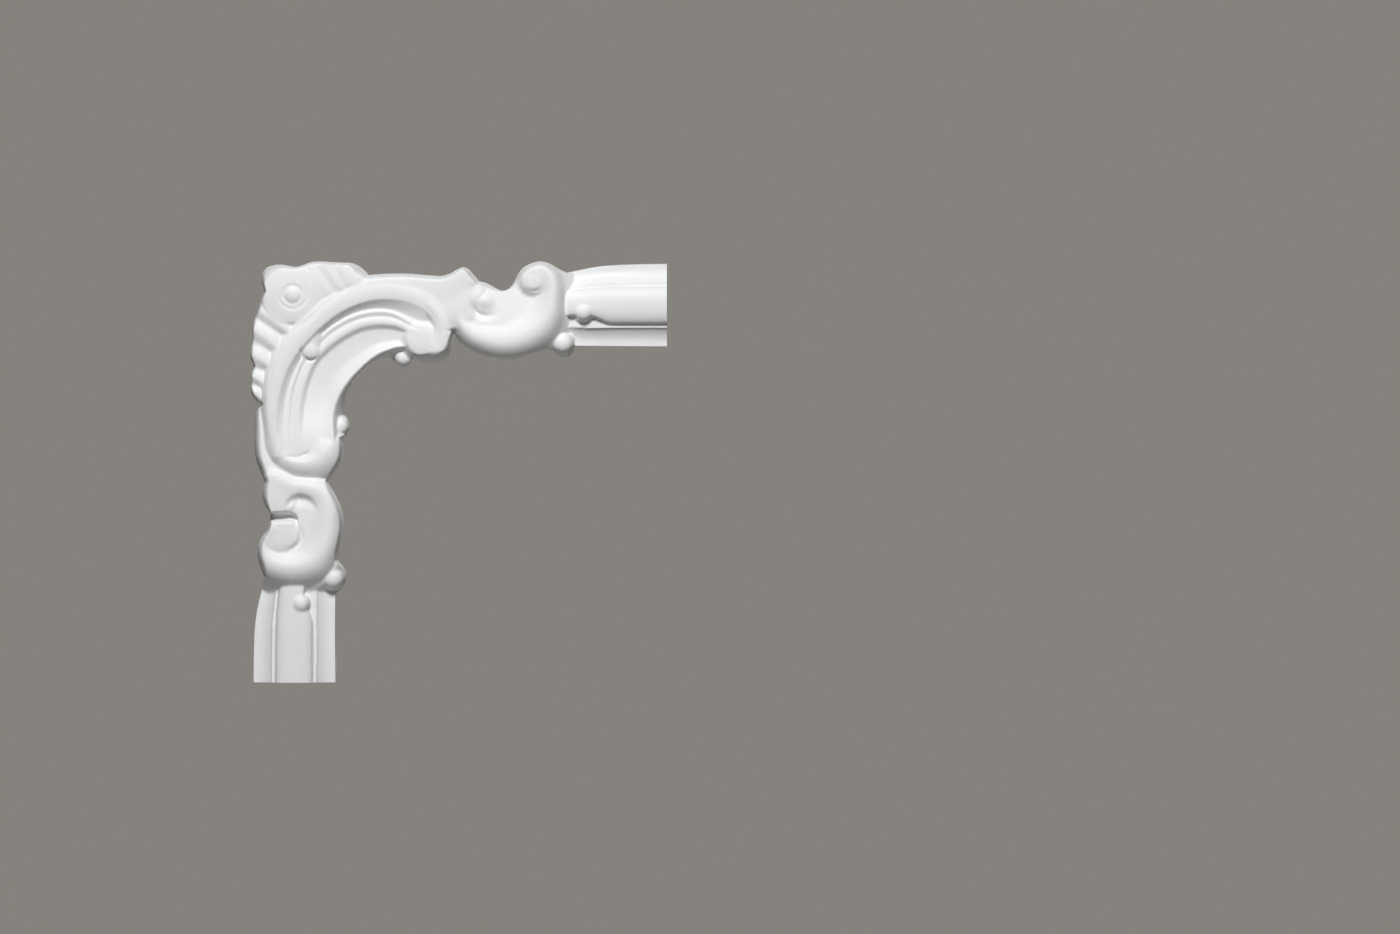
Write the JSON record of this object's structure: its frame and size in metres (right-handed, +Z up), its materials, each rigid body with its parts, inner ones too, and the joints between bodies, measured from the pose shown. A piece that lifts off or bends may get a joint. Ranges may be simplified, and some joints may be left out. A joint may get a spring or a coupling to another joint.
{
  "type": "frieze moulding corner",
  "caption": "Carved scroll corner for a wall frieze moulding, with a shell crest outside, a C-scroll on each leg and plain square-cut ends.",
  "frame": {"origin": "on the flat back, where the centrelines of the two legs cross", "axes": "+X along the horizontal leg, away from the corner; +Z up, so the other leg hangs along -Z; -Y out of the carved face and +Y into the wall"},
  "size_m": [0.2477, 0.0244, 0.2503],
  "materials": {
    "white_primed_polyurethane": "matte"
  },
  "bodies": {
    "root": {"frieze_corner": "white_primed_polyurethane"}
  },
  "joints": []
}
